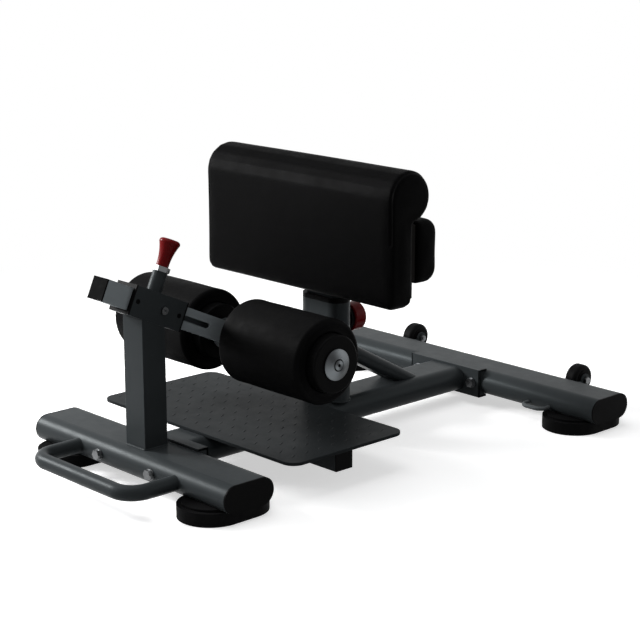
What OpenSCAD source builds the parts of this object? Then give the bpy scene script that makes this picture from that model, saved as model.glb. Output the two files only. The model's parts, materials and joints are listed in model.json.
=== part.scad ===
// Sissy squat bench: two flat oval feet joined by a beam, an arm with two calf rollers that slides
// in a tilted sleeve, a tread plate for the feet and a padded post that slides up and down.
// X runs across the bench, Y from the front foot to the rear foot and Z up. The origin is on the
// floor below the middle of the bench.

/* [Feet] */
// Width of the flat oval tube of the feet and the beam
oval_w = 110; // [90:1:130]
// Height of that tube
oval_h = 50; // [44:1:60]
// Wall of that tube
oval_wall = 3; // [2:0.5:5]
// Length of the front foot's tube
front_foot_len = 544; // [480:2:640]
// Length of the rear foot's tube
rear_foot_len = 764; // [700:2:900]
// Distance between the two feet, from axis to axis
foot_spacing = 837; // [780:1:900]
// Thickness of the plugs' flanges at the ends of the feet
foot_cap_t = 3; // [2:0.5:6]
// How far those plugs reach into the tube
foot_cap_depth = 18; // [10:1:30]
// Height of the tubes' underside above the floor
tube_clear = 22; // [16:1:40]
// Width of a rubber foot, across the bench
rubber_w = 120; // [90:1:124]
// Length of a rubber foot, front to back
rubber_len = 172; // [140:1:190]
// Height of a rubber foot's rim
rubber_rim = 24; // [20:1:40]
// Height of the raised seat on a rubber foot, above its rim
rubber_seat = 4; // [2:0.5:8]
// Width of the ledge round that seat
rubber_ledge = 9; // [7:1:15]
// From the front foot's ends to the centre of its rubber feet
rubber_inset_front = 69; // [62:1:85]
// From the rear foot's ends to the centre of its rubber feet
rubber_inset_rear = 71; // [62:1:90]

/* [Front Handle] */
// Diameter of the handle's tube
handle_d = 28; // [20:1:30]
// Wall of the handle's tube
handle_wall = 2.5; // [1.5:0.5:4]
// Distance between the handle's legs, from axis to axis
handle_w = 280; // [240:2:320]
// From the front foot's axis to the axis of the handle's bar
handle_reach = 149.5; // [130:0.5:180]
// Radius of the handle's bends, at the tube's axis
handle_bend = 38; // [30:1:45]

/* [Beam Joints] */
// Length of the channels that join the beam to the feet
channel_len = 192; // [180:1:220]
// Thickness of the channels' sheet
channel_t = 4; // [3:0.5:6]
// Depth of the channels' lips, with the sheet
channel_depth = 22; // [16:1:26]
// Distance between the two bolts of a channel
bolt_pitch = 150; // [146:1:164]
// Diameter of the frame's bolts
bolt_d = 10; // [8:1:12]
// Size of the hexagons of bolts and nuts, across the flats
bolt_hex = 17; // [15:0.5:20]
// Height of the bolts' heads
bolt_head_t = 6.5; // [5:0.5:9]
// Height of the nuts
bolt_nut_t = 8; // [6:0.5:10]
// Length of thread that stands out past a nut
thread_past = 3; // [1:0.5:6]
// Diameter of the washers
washer_d = 21; // [20:0.5:24]
// Thickness of the washers
washer_t = 2; // [1:0.5:3]

/* [Front Upright And Sleeve] */
// Width of the front upright, across the bench
upright_w = 55; // [45:1:60]
// Depth of the front upright, front to back
upright_d = 50; // [40:1:54]
// Wall of the front upright
upright_wall = 3; // [2:0.5:5]
// From the front foot's axis to the upright's axis, towards the rear
upright_y = -3; // [-3:0.5:3]
// Width of the sleeve
sleeve_w = 55; // [50:1:62]
// Height of the sleeve, square to its axis
sleeve_h = 54; // [50:1:60]
// Wall of the sleeve
sleeve_wall = 3; // [2:0.5:4]
// Length of the sleeve
sleeve_len = 118; // [100:1:140]
// From the front foot's axis to the sleeve's middle, towards the rear
sleeve_y = 9.5; // [5:0.5:15]
// Height of the sleeve's middle above the tubes' underside
sleeve_z = 301.5; // [280:0.5:330]
// Tilt of the sleeve and the arm, down towards the rear
arm_tilt = 24.5; // [20:0.5:28]
// Thickness of the flanges of the sleeve's liners
liner_flange = 3; // [2:0.5:5]
// How far a liner reaches into the sleeve
liner_depth = 30; // [25:1:40]
// Diameter of the button that holds a liner in the sleeve
button_d = 9; // [7:0.5:11]
// From the sleeve's end to the button's centre
button_inset = 10; // [8:0.5:14]

/* [Arm] */
// Side of the arm's square tube
arm_side = 40; // [36:1:44]
// Wall of the arm's tube
arm_wall = 3; // [2:0.5:4]
// From the sleeve's middle to the front end of the arm's tube
arm_front = 117; // [110:1:140]
// From the sleeve's middle to the rollers' axis
axle_at = 207; // [200:1:230]
// From the rollers' axis to the rear end of the arm's tube
arm_tail = 26; // [22:1:36]
// Thickness of the flanges of the arm's end plugs
arm_plug_t = 3; // [2:0.5:5]
// How far the arm's end plugs reach into the tube
arm_plug_depth = 7; // [5:0.5:8]
// Distance between the locking holes
hole_pitch = 22; // [20:0.5:25]
// Locking holes behind the one in use
holes_behind = 2; // [1:1:2]
// Locking holes ahead of the one in use, towards the rollers
holes_ahead = 5; // [3:1:5]
// Width of the slot in the arm's side
slot_w = 10; // [9:0.5:14]
// From the sleeve's middle to the stop screw, towards the rollers
stop_at = 12; // [8:1:20]
// Diameter of the stop screw
stop_d = 8; // [6:0.5:8]
// Diameter of the stop screw's head
stop_head_d = 14; // [12:0.5:16]
// Height of the stop screw's head
stop_head_t = 4; // [3:0.5:6]
// Size of the stop screw's socket, across the flats
stop_socket = 5; // [4:0.5:5]
// Room left in the slot past the ends of the travel
slot_slack = 5; // [3:0.5:8]

/* [Rollers] */
// Diameter of the foam rollers
foam_d = 154; // [120:1:170]
// Length of a foam roller
foam_len = 208; // [180:1:240]
// From the bench's middle to a foam roller
foam_inner = 50; // [48:1:60]
// Radius of the foam rollers' edges
foam_edge = 8; // [4:1:20]
// Diameter of the rollers' cores
core_d = 104; // [90:1:112]
// How far a core stands out of its foam, at each end
core_out = 20; // [15:0.5:21]
// Radius of the cores' edges
core_edge = 3; // [1:0.5:6]
// Diameter of the rollers' axle
axle_d = 20; // [16:1:25]
// Diameter of the dished washers at the rollers' ends
dish_d = 56; // [50:1:70]
// Thickness of those washers
dish_t = 3; // [2:0.5:5]
// Diameter of the end screws' heads
end_head_d = 22; // [16:1:26]
// Height of those heads
end_head_t = 6; // [5:0.5:9]
// Size of the sockets in those heads, across the flats
end_socket = 6; // [5:0.5:8]
// Depth of those sockets
end_socket_depth = 4; // [3:0.5:5]
// Diameter of the end screws
end_screw_d = 10; // [8:1:12]
// Length of the end screws
end_screw_len = 30; // [20:1:40]
// Diameter of the spacers between the arm and the rollers
spacer_d = 30; // [26:1:30]

/* [Locking Pins] */
// Diameter of the pins' plungers
plunger_d = 10; // [8:0.5:12]
// Diameter of the pins' barrels
barrel_d = 27; // [23:1:28]
// Height of the front pin's barrel
barrel_h = 37; // [30:1:45]
// Size of the hexagonal collar on that barrel, across the flats
barrel_hex = 28; // [26:0.5:30]
// Height of that collar
barrel_hex_h = 9; // [9:0.5:12]
// Diameter of the front knob's neck
neck_d = 22.5; // [18:0.5:23]
// Height of that neck above the hexagon
neck_h = 4; // [2:1:8]
// Diameter of the front knob's rim
rim_d = 38; // [32:1:44]
// Thickness of that rim
rim_t = 12; // [8:0.5:14]
// Height of the front knob, above the hexagon
knob_h = 50; // [42:1:60]
// How far a pin drops into a locking hole
pin_drop = 6; // [4:0.5:6.5]
// Diameter of the rear knob
lock_knob_d = 57; // [46:1:64]
// Thickness of the rear knob
lock_knob_t = 30; // [20:1:34]
// Radius of the rear knob's edges
lock_knob_edge = 4; // [2:0.5:8]
// From the rear upright to the rear knob
lock_knob_gap = 28; // [26:1:36]
// Length of the rear pin's barrel
lock_barrel_len = 20; // [14:1:20]
// From the rear upright's top down to the rear pin's axis
lock_drop = 47; // [30:1:55]

/* [Foot Plate] */
// Width of the foot plate
plate_w = 550; // [530:1:600]
// Depth of the foot plate, front to back
plate_len = 278; // [240:1:290]
// Thickness of the foot plate
plate_t = 6; // [3:0.5:8]
// Radius of the plate's corners
plate_corner = 25; // [10:1:40]
// From the front foot's axis to the plate's front edge
plate_y = 98.5; // [90:0.5:110]
// Side of the square tube below the plate
cross_side = 40; // [30:1:44]
// Wall of that tube
cross_wall = 2.5; // [2:0.5:4]
// Length of that tube, over both sides of the beam
cross_len = 510; // [460:2:520]
// Thickness of the flanges of its end plugs
cross_plug_t = 3; // [2:0.5:5]
// How far its end plugs reach into the tube
cross_plug_depth = 15; // [10:1:20]

/* [Rear Upright And Post] */
// From the front foot's axis to the rear upright's axis
post_y = 437; // [430:1:445]
// Height of the rear upright, above the beam
rear_upright_h = 196; // [190:1:220]
// Height of the liner's flange on the rear upright
post_flange = 9; // [5:0.5:12]
// How far that liner reaches into the upright
post_liner_depth = 70; // [65:1:90]
// Width of the pad post, across the bench
post_w = 95; // [90:1:98]
// Depth of the pad post, front to back
post_d = 35; // [30:1:38]
// Wall of the pad post
post_wall = 2.5; // [2:0.5:4]
// Height of the post's lower end above the beam
post_low = 35; // [30:1:45]
// How far the post stands out of the rear upright
post_rise = 184; // [170:1:190]
// Distance between the post's locking holes
post_pitch = 25; // [20:0.5:25]
// Locking holes above the one in use, for a lower pad
post_holes_above = 1; // [1:1:1]
// Locking holes below the one in use, for a higher pad
post_holes_below = 3; // [1:1:3]
// From the rear upright's axis to the middle of the brace's landing
brace_reach = 203; // [180:1:230]
// Height of the brace's middle on the upright, above the beam
brace_rise = 97.5; // [80:0.5:110]
// Width of the brace's flat oval tube
brace_w = 60; // [50:1:60]
// Height of the brace's tube
brace_h = 30; // [24:1:34]
// Wall of the brace's tube
brace_wall = 2.5; // [2:0.5:4]

/* [Pads] */
// Width of the calf pad
calf_w = 516; // [440:2:560]
// Depth of the calf pad's slab
calf_d = 52; // [46:1:60]
// Height of the calf pad
calf_h = 250; // [235:1:260]
// Height of the calf pad's lower edge above the rear upright
calf_rise = 31; // [30:1:50]
// Diameter of the roll along the calf pad's top
roll_d = 90; // [80:1:94]
// Radius of the calf pad's edges
calf_edge = 10; // [8:1:16]
// Radius of the calf pad's corners, seen from the front
calf_corner = 14; // [10:1:40]
// Radius of the calf pad's upper front edge
calf_lip = 46; // [20:1:46]
// How far the middle of a pad swells
crown = 3; // [1:0.5:5]
// Thickness of the boards behind the pads
board_t = 12; // [9:1:18]
// How far a board stays inside its pad's outline
board_inset = 8; // [5:1:15]
// Width of the rear pad
rear_pad_w = 428; // [360:2:460]
// Depth of the rear pad
rear_pad_d = 52; // [40:1:60]
// Height of the rear pad
rear_pad_h = 121; // [100:1:124]
// Height of the rear pad's lower edge above the rear upright
rear_pad_rise = 56; // [50:1:62]
// Radius of the rear pad's outer edges
rear_pad_edge = 24; // [15:1:25]
// Radius of the rear pad's edges next to its board
rear_pad_seam = 4; // [2:0.5:6]
// Diameter of the screws that hold the boards
pad_screw_d = 8; // [6:0.5:8]
// Diameter of those screws' heads
pad_head_d = 14; // [12:0.5:16]
// Height of those screws' heads
pad_head_t = 4; // [3:0.5:5]
// Distance between those screws, up and down
pad_screw_pitch = 70; // [50:1:75]
// From the calf pad's lower edge to its lower screw
calf_screw_rise = 60; // [50:1:70]
// Thickness of board left in front of those screws' tips
screw_cover = 3; // [2:0.5:5]

/* [Wheels And Hooks] */
// Diameter of the transport wheels
wheel_d = 60; // [50:1:62]
// Width of the transport wheels
wheel_w = 28; // [22:1:30]
// Radius of the tyres' edges
tyre_edge = 8; // [2:0.5:9]
// Diameter of the wheels' hubs
hub_d = 40; // [30:1:44]
// How far a hub stands out of its tyre, at each side
hub_out = 1; // [0.5:0.5:2]
// From the rear foot's axis to the wheels' axis
wheel_back = 94; // [92:1:100]
// Height of the wheels' axis above the tubes' underside
wheel_z = 36; // [33:1:38]
// From the ends of the rear foot's tube to the middle of a wheel
wheel_inset = 151; // [120:1:170]
// Thickness of the wheels' brackets
ear_t = 4; // [3:0.5:6]
// Radius of the round ends of those brackets
ear_r = 13; // [10:0.5:16]
// Gap between a wheel's hub and its bracket
ear_gap = 0.5; // [0.3:0.1:1]
// Diameter of the wheels' bolts
wheel_bolt_d = 8; // [6:0.5:10]
// Size of the hexagons on those bolts, across the flats
wheel_hex = 13; // [11:0.5:15]
// Height of the heads and the nuts of those bolts
wheel_head_t = 6; // [4:0.5:8]
// Diameter of the band hooks' rod
hook_d = 8; // [6:0.5:10]
// Distance between a hook's legs, from axis to axis
hook_w = 52; // [40:1:60]
// How far a hook stands out from the rear foot's side, to the rod's axis
hook_reach = 24; // [20:1:32]
// Radius of a hook's bends, at the rod's axis
hook_bend = 16; // [10:1:18]
// From the ends of the rear foot's tube to the middle of a hook
hook_inset = 132; // [125:1:160]
// Height of the hooks above the tubes' underside
hook_z = 15; // [12:1:18]

/* [Hidden] */
$fn = 64;

// Running clearance between pieces that slide, and between a plunger and its holes
run = 0.3;
// Clearance of a shaft that turns in a bore, on the radius
turn = 0.05;
// Clearance between pieces that are fitted once
fit = 0.1;
// Room round a bolt in its hole, on the radius
bolt_room = 0.25;
// Length by which cutting shapes pass the faces they cut
past = 1;
// Size of the blocks that trim long tubes
far = 1000;
// How far a plunger reaches into its knob
plunger_grip = 10;
// How far the front knob's neck sinks into its collar at rest
neck_spare = 1;
// How far the front knob's flare ends inside its rim
rim_drop = 2;
// How far a hook's legs run on inside the foot's outline before they are trimmed
hook_root = 10;
// Gap between the calf board and the roll above it
board_gap = 2;

half_h = oval_h / 2;
channel_in = oval_w / 2 + fit;
channel_out = channel_in + channel_t;
beam_len = foot_spacing - 2 * channel_out;
// Distance that a frame bolt clamps: the foot and the channel
grip = oval_w / 2 + channel_out;
bolt_len = grip + 2 * washer_t + bolt_nut_t + thread_past;
bolt_places = [-oval_w / 2, foot_spacing - channel_out];

arm_hole_d = plunger_d + 2 * run;
travel_in = holes_ahead * hole_pitch;
travel_out = holes_behind * hole_pitch;
slot_front = stop_at - travel_out - slot_slack - stop_d / 2;
slot_rear = stop_at + travel_in + slot_slack + stop_d / 2;
arm_rear = axle_at + arm_tail;

core_inner = foam_inner - core_out;
core_outer = foam_inner + foam_len + core_out;
axle_end = core_outer;
dish_inner = arm_side / 2 + fit;
dish_mid_t = 0.6 * dish_t;
spacer_from = dish_inner + dish_mid_t + fit;
spacer_to = core_inner - turn;

barrel_top = sleeve_h / 2 + barrel_h;
hex_top = barrel_top + barrel_hex_h;
// The plungers stop just clear of the tubes that they lock
tip_gap = run + fit;
plunger_low = arm_side / 2 + tip_gap;
// Depth of the collar's recess without its running clearance
neck_room = pin_drop + neck_spare;

post_face = post_y + oval_h / 2;
lock_tip = post_y + post_d / 2 + tip_gap;
knob_face = post_face + lock_knob_gap;
upright_top = oval_h + rear_upright_h;
lock_z = upright_top - lock_drop;
post_len = rear_upright_h - post_low + post_rise;
calf_z = upright_top + calf_rise;
rear_pad_z = upright_top + rear_pad_rise;

board_front = post_y - post_d / 2 - board_t;
calf_front = board_front - calf_d;
roll_y = board_front;
roll_z = calf_z + calf_h - roll_d / 2;
rear_board_y = post_y + post_d / 2;
rear_pad_y = rear_board_y + board_t;
calf_screw_z = calf_z + calf_screw_rise;
rear_screw_z = rear_pad_z + (rear_pad_h - pad_screw_pitch) / 2;

hook_x = rear_foot_len / 2 - hook_inset;
wheel_x = rear_foot_len / 2 - wheel_inset;
wheel_y = foot_spacing + wheel_back;
ear_in = wheel_w / 2 + hub_out + ear_gap;
wheel_bolt_len = 2 * (ear_in + ear_t) + wheel_head_t + thread_past;

bench_front = handle_reach + handle_d / 2;
bench_back = wheel_y + wheel_d / 2;
// Distance from the front foot's axis to the middle of the bench
mid_y = (bench_back - bench_front) / 2;

// Colours as the photograph shows them
paint = "#4a4f53";
black = "#1b1b1d";
zinc = "#b9bcbe";
red = "#7d1a1c";
vinyl = "#151516";

// Places a piece drawn from the front foot's axis and the tubes' underside
module bench() {
  translate([0, -mid_y, tube_clear]) children();
}

// Places a piece drawn along the arm: Y runs down to the rollers and Z square to the arm
module in_sleeve() {
  bench() translate([0, sleeve_y, sleeve_z]) rotate([-arm_tilt, 0, 0]) children();
}

// Copies its children to the left side
module both_sides() {
  children();
  mirror([1, 0, 0]) children();
}

// Flat oval outline with round ends
module oval(w, h) {
  square([w - h, h], center = true);
  translate([(w - h) / 2, 0]) circle(d = h);
  translate([-(w - h) / 2, 0]) circle(d = h);
}

// Rectangle with round corners, centred
module round_rect(w, h, r) {
  square([w - 2 * r, h], center = true);
  square([w, h - 2 * r], center = true);
  for (x = [-1, 1], y = [-1, 1]) translate([x * (w / 2 - r), y * (h / 2 - r)]) circle(r = r);
}

// Extrudes an outline along X, centred, with the outline's X to Y and its Y to Z
module along_x(len) {
  rotate([90, 0, 90]) linear_extrude(height = len, center = true) children();
}

// Extrudes an outline along Y from y = 0, with the outline's Y to Z
module along_y(len) {
  translate([0, len, 0]) rotate([90, 0, 0]) linear_extrude(height = len) children();
}

// Cylinder along X, centred
module rod_x(d, len) {
  rotate([0, 90, 0]) cylinder(d = d, h = len, center = true);
}

// Cylinder along Y from y = 0
module rod_y(d, len) {
  rotate([-90, 0, 0]) cylinder(d = d, h = len);
}

// Hexagon prism along Z, given across its flats
module hex(flats, h) {
  cylinder(d = flats / cos(30), h = h, $fn = 6);
}

// Solid of the feet's tube, centred on its axis, wider by grow all round
module foot_solid(len, grow = 0) {
  along_x(len) oval(oval_w + 2 * grow, oval_h + 2 * grow);
}

module foot_tube(len) {
  difference() {
    translate([0, 0, half_h]) foot_solid(len);
    translate([0, 0, half_h]) along_x(len + past) oval(oval_w - 2 * oval_wall, oval_h - 2 * oval_wall);
    both_sides() translate([bolt_pitch / 2, -oval_w, half_h]) rod_y(bolt_d + 2 * bolt_room, 2 * oval_w);
  }
}

module front_foot() {
  color(paint) bench() foot_tube(front_foot_len);
}

module rear_foot() {
  color(paint) bench() translate([0, foot_spacing, 0]) foot_tube(rear_foot_len);
}

// Plug for the right end of a foot, with its flange on the tube's end
module foot_cap(len) {
  inner_w = oval_w - 2 * oval_wall - 2 * fit;
  inner_h = oval_h - 2 * oval_wall - 2 * fit;
  translate([len / 2 + foot_cap_t / 2, 0, half_h]) along_x(foot_cap_t) oval(oval_w, oval_h);
  translate([len / 2 - foot_cap_depth / 2, 0, half_h]) along_x(foot_cap_depth) oval(inner_w, inner_h);
}

module front_foot_caps() {
  color(black) bench() both_sides() foot_cap(front_foot_len);
}

module rear_foot_caps() {
  color(black) bench() translate([0, foot_spacing, 0]) both_sides() foot_cap(rear_foot_len);
}

// Rubber foot with a seat cut to the tube that stands on it
module rubber_foot(x, y) {
  seat_w = rubber_w - 2 * rubber_ledge;
  seat_len = rubber_len - 2 * rubber_ledge;
  color(black) bench() difference() {
    translate([x, y, -tube_clear]) union() {
      linear_extrude(height = rubber_rim) rotate([0, 0, 90]) oval(rubber_len, rubber_w);
      linear_extrude(height = rubber_rim + rubber_seat) rotate([0, 0, 90]) oval(seat_len, seat_w);
    }
    translate([0, y, half_h]) foot_solid(2 * x + far, fit);
  }
}

rubber_front_x = front_foot_len / 2 + foot_cap_t - rubber_inset_front;
rubber_rear_x = rear_foot_len / 2 + foot_cap_t - rubber_inset_rear;
module rubber_front_right() { rubber_foot(rubber_front_x, 0); }
module rubber_front_left() { mirror([1, 0, 0]) rubber_foot(rubber_front_x, 0); }
module rubber_rear_right() { rubber_foot(rubber_rear_x, foot_spacing); }
module rubber_rear_left() { mirror([1, 0, 0]) rubber_foot(rubber_rear_x, foot_spacing); }

// Solid of a bent loop in the XY plane: legs along Y from y = 0 to a bar at y = -reach
module loop_solid(d, w, reach, bend) {
  both_sides() {
    translate([w / 2, -reach + bend, 0]) rod_y(d, reach - bend);
    translate([w / 2 - bend, -reach + bend, 0])
      rotate([0, 0, -90]) rotate_extrude(angle = 90) translate([bend, 0]) circle(d = d);
  }
  translate([0, -reach, 0]) rod_x(d, w - 2 * bend);
}

module carry_handle() {
  color(paint) bench() difference() {
    translate([0, 0, half_h]) difference() {
      loop_solid(handle_d, handle_w, handle_reach, handle_bend);
      loop_solid(handle_d - 2 * handle_wall, handle_w, handle_reach, handle_bend);
    }
    translate([0, 0, half_h]) foot_solid(far, fit);
  }
}

module main_beam() {
  color(paint) bench() translate([0, channel_out, half_h]) difference() {
    along_y(beam_len) oval(oval_w, oval_h);
    translate([0, -past, 0]) along_y(beam_len + 2 * past)
      oval(oval_w - 2 * oval_wall, oval_h - 2 * oval_wall);
  }
}

// Channel behind the front foot, open towards the foot
module channel() {
  difference() {
    translate([-channel_len / 2, channel_out - channel_depth, -channel_t])
      cube([channel_len, channel_depth, oval_h + 2 * channel_t]);
    translate([-channel_len / 2 - past, channel_in - channel_depth - channel_t, 0])
      cube([channel_len + 2 * past, channel_depth + channel_t, oval_h]);
    both_sides() translate([bolt_pitch / 2, 0, half_h]) rod_y(bolt_d + 2 * bolt_room, channel_out + past);
  }
}

module front_channel() {
  color(paint) bench() channel();
}

module rear_channel() {
  color(paint) bench() translate([0, foot_spacing, 0]) mirror([0, 1, 0]) channel();
}

// Places a fastener at each of the four frame bolts, with Y from the head's seat
module at_frame_bolts() {
  for (y = bolt_places) bench() both_sides() translate([bolt_pitch / 2, y, half_h]) children();
}

module frame_bolts() {
  color(zinc) at_frame_bolts() {
    translate([0, -washer_t, 0]) rotate([90, 0, 0]) hex(bolt_hex, bolt_head_t);
    translate([0, -washer_t, 0]) rod_y(bolt_d, bolt_len);
  }
}

module washer(d, bore) {
  difference() {
    rod_y(d, washer_t);
    translate([0, -past, 0]) rod_y(bore, washer_t + 2 * past);
  }
}

module frame_washers() {
  color(zinc) at_frame_bolts() for (y = [-washer_t, grip])
    translate([0, y, 0]) washer(washer_d, bolt_d + 2 * fit);
}

module frame_nuts() {
  color(zinc) at_frame_bolts() translate([0, grip + washer_t, 0]) difference() {
    rotate([-90, 0, 0]) hex(bolt_hex, bolt_nut_t);
    translate([0, -past, 0]) rod_y(bolt_d + 2 * fit, bolt_nut_t + 2 * past);
  }
}

// Block square to the arm that takes off what lies above the sleeve's underside
module above_sleeve() {
  translate([0, sleeve_y, sleeve_z]) rotate([-arm_tilt, 0, 0])
    translate([-far / 2, -far / 2, -sleeve_h / 2]) cube([far, far, far]);
}

module front_upright() {
  height = sleeve_z - oval_h;
  color(paint) bench() difference() {
    translate([-upright_w / 2, upright_y - upright_d / 2, oval_h]) cube([upright_w, upright_d, height]);
    translate([-upright_w / 2 + upright_wall, upright_y - upright_d / 2 + upright_wall, oval_h - past])
      cube([upright_w - 2 * upright_wall, upright_d - 2 * upright_wall, height + 2 * past]);
    above_sleeve();
  }
}

button_y = sleeve_len / 2 - button_inset;

module sleeve() {
  inner_w = sleeve_w - 2 * sleeve_wall;
  inner_h = sleeve_h - 2 * sleeve_wall;
  color(paint) in_sleeve() difference() {
    translate([-sleeve_w / 2, -sleeve_len / 2, -sleeve_h / 2]) cube([sleeve_w, sleeve_len, sleeve_h]);
    translate([-inner_w / 2, -sleeve_len / 2 - past, -inner_h / 2])
      cube([inner_w, sleeve_len + 2 * past, inner_h]);
    for (y = [-button_y, button_y]) translate([0, y, 0]) rod_x(button_d + 2 * fit, sleeve_w + past);
    translate([sleeve_w / 2, stop_at, 0]) rod_x(stop_d + 2 * fit, 4 * sleeve_wall);
    cylinder(d = arm_hole_d, h = sleeve_h);
  }
}

// Liner for the sleeve's rear end: a flange, a lining and a button at each side
module sleeve_liner() {
  inner_w = sleeve_w - 2 * sleeve_wall - 2 * fit;
  inner_h = sleeve_h - 2 * sleeve_wall - 2 * fit;
  bore = arm_side + 2 * run;
  end_y = sleeve_len / 2;
  difference() {
    union() {
      translate([-sleeve_w / 2, end_y, -sleeve_h / 2]) cube([sleeve_w, liner_flange, sleeve_h]);
      translate([-inner_w / 2, end_y - liner_depth, -inner_h / 2]) cube([inner_w, liner_depth, inner_h]);
      translate([0, button_y, 0]) rod_x(button_d, sleeve_w);
    }
    translate([-bore / 2, end_y - liner_depth - past, -bore / 2])
      cube([bore, liner_depth + liner_flange + 2 * past, bore]);
  }
}

module sleeve_liner_rear() {
  color(black) in_sleeve() sleeve_liner();
}

module sleeve_liner_front() {
  color(black) in_sleeve() rotate([0, 0, 180]) sleeve_liner();
}

// Stop screw in the sleeve's right wall, whose tip runs in the arm's slot
module stop_screw() {
  tip = arm_side / 2 - arm_wall + fit;
  reach = sleeve_w / 2 - tip;
  color(zinc) in_sleeve() translate([0, stop_at, 0]) difference() {
    union() {
      translate([tip + reach / 2, 0, 0]) rod_x(stop_d, reach);
      translate([sleeve_w / 2 + stop_head_t / 2, 0, 0]) rod_x(stop_head_d, stop_head_t);
    }
    translate([sleeve_w / 2 + stop_head_t / 2, 0, 0]) rotate([0, 90, 0]) hex(stop_socket, stop_head_t);
  }
}

module arm_tube() {
  len = arm_front + arm_rear;
  inner = arm_side - 2 * arm_wall;
  color(paint) in_sleeve() difference() {
    translate([-arm_side / 2, -arm_front, -arm_side / 2]) cube([arm_side, len, arm_side]);
    translate([-inner / 2, -arm_front - past, -inner / 2]) cube([inner, len + 2 * past, inner]);
    for (i = [-holes_behind : holes_ahead]) translate([0, i * hole_pitch, 0])
      cylinder(d = arm_hole_d, h = arm_side);
    translate([arm_side / 2, (slot_front + slot_rear) / 2, 0]) along_x(3 * arm_wall)
      oval(slot_rear - slot_front, slot_w);
    translate([0, axle_at, 0]) rod_x(axle_d + 2 * fit, arm_side + past);
  }
}

// Plug for an end of the arm, with its flange from y = 0 outwards
module arm_plug() {
  inner = arm_side - 2 * arm_wall - 2 * fit;
  translate([-arm_side / 2, 0, -arm_side / 2]) cube([arm_side, arm_plug_t, arm_side]);
  translate([-inner / 2, -arm_plug_depth, -inner / 2]) cube([inner, arm_plug_depth, inner]);
}

module arm_plugs() {
  color(black) in_sleeve() {
    translate([0, arm_rear, 0]) arm_plug();
    translate([0, -arm_front, 0]) rotate([0, 0, 180]) arm_plug();
  }
}

module roller_axle() {
  color(zinc) in_sleeve() translate([0, axle_at, 0]) difference() {
    union() {
      rod_x(axle_d, 2 * axle_end);
      both_sides() translate([(spacer_from + spacer_to) / 2, 0, 0])
        rod_x(spacer_d, spacer_to - spacer_from);
    }
    both_sides() translate([axle_end, 0, 0]) rod_x(end_screw_d + 2 * fit, 2 * end_screw_len);
  }
}

// Washer on the rollers' axle, from x = 0 outwards, dished on its outer side
module dished_washer(bore) {
  rotate([0, 90, 0]) difference() {
    rotate_extrude() polygon([
      [0, 0], [dish_d / 2, 0], [dish_d / 2, dish_t / 2], [dish_d / 2 - dish_t / 2, dish_t],
      [dish_d / 2 - 2 * dish_t, dish_t], [dish_d / 4, dish_mid_t], [0, dish_mid_t]
    ]);
    translate([0, 0, -past]) cylinder(d = bore, h = dish_t + 2 * past);
  }
}

module dished_washers() {
  color(zinc) in_sleeve() translate([0, axle_at, 0]) both_sides() {
    translate([dish_inner, 0, 0]) dished_washer(axle_d + 2 * fit);
    translate([core_outer + fit, 0, 0]) dished_washer(end_screw_d + 2 * fit);
  }
}

module end_screws() {
  seat = core_outer + fit + dish_mid_t;
  top_d = 0.8 * end_head_d;
  color(zinc) in_sleeve() translate([0, axle_at, 0]) both_sides() difference() {
    union() {
      translate([seat, 0, 0]) rotate([0, 90, 0])
        cylinder(d1 = end_head_d, d2 = top_d, h = end_head_t);
      translate([seat - end_screw_len / 2, 0, 0]) rod_x(end_screw_d, end_screw_len);
    }
    translate([seat + end_head_t - end_socket_depth, 0, 0]) rotate([0, 90, 0])
      hex(end_socket, end_head_t);
  }
}

// Solid of revolution along X with round edges, from x = 0 to x = len
module round_roller(d, len, edge) {
  rotate([0, 90, 0]) rotate_extrude() intersection() {
    translate([0, len / 2]) round_rect(d, len, edge);
    square([d, len]);
  }
}

module core_at(side) {
  len = core_outer - core_inner;
  color(black) in_sleeve() translate([0, axle_at, 0]) mirror([side < 0 ? 1 : 0, 0, 0])
    translate([core_inner, 0, 0]) difference() {
      round_roller(core_d, len, core_edge);
      translate([-past, 0, 0]) rotate([0, 90, 0]) cylinder(d = axle_d + 2 * turn, h = len + 2 * past);
    }
}

module foam_at(side) {
  color(vinyl) in_sleeve() translate([0, axle_at, 0]) mirror([side < 0 ? 1 : 0, 0, 0])
    translate([foam_inner, 0, 0]) difference() {
      round_roller(foam_d, foam_len, foam_edge);
      translate([-past, 0, 0]) rotate([0, 90, 0]) cylinder(d = core_d + 2 * fit, h = foam_len + 2 * past);
    }
}

module core_left() { core_at(-1); }
module core_right() { core_at(1); }
module foam_left() { foam_at(-1); }
module foam_right() { foam_at(1); }

module pin_barrel() {
  color(paint) in_sleeve() translate([0, 0, sleeve_h / 2]) difference() {
    cylinder(d = barrel_d, h = barrel_h);
    translate([0, 0, -past]) cylinder(d = plunger_d + 2 * turn, h = barrel_h + 2 * past);
  }
}

// Hexagonal collar on the barrel, with a recess that the knob's neck sinks into
module pin_collar() {
  color(zinc) in_sleeve() translate([0, 0, barrel_top]) difference() {
    hex(barrel_hex, barrel_hex_h);
    translate([0, 0, -past]) cylinder(d = plunger_d + 2 * turn, h = barrel_hex_h + past);
    translate([0, 0, barrel_hex_h - neck_room - run])
      cylinder(d = neck_d + 2 * run, h = neck_room + run + past);
  }
}

module pin_plunger() {
  color(zinc) in_sleeve() translate([0, 0, plunger_low])
    cylinder(d = plunger_d, h = hex_top + plunger_grip - plunger_low);
}

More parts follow.
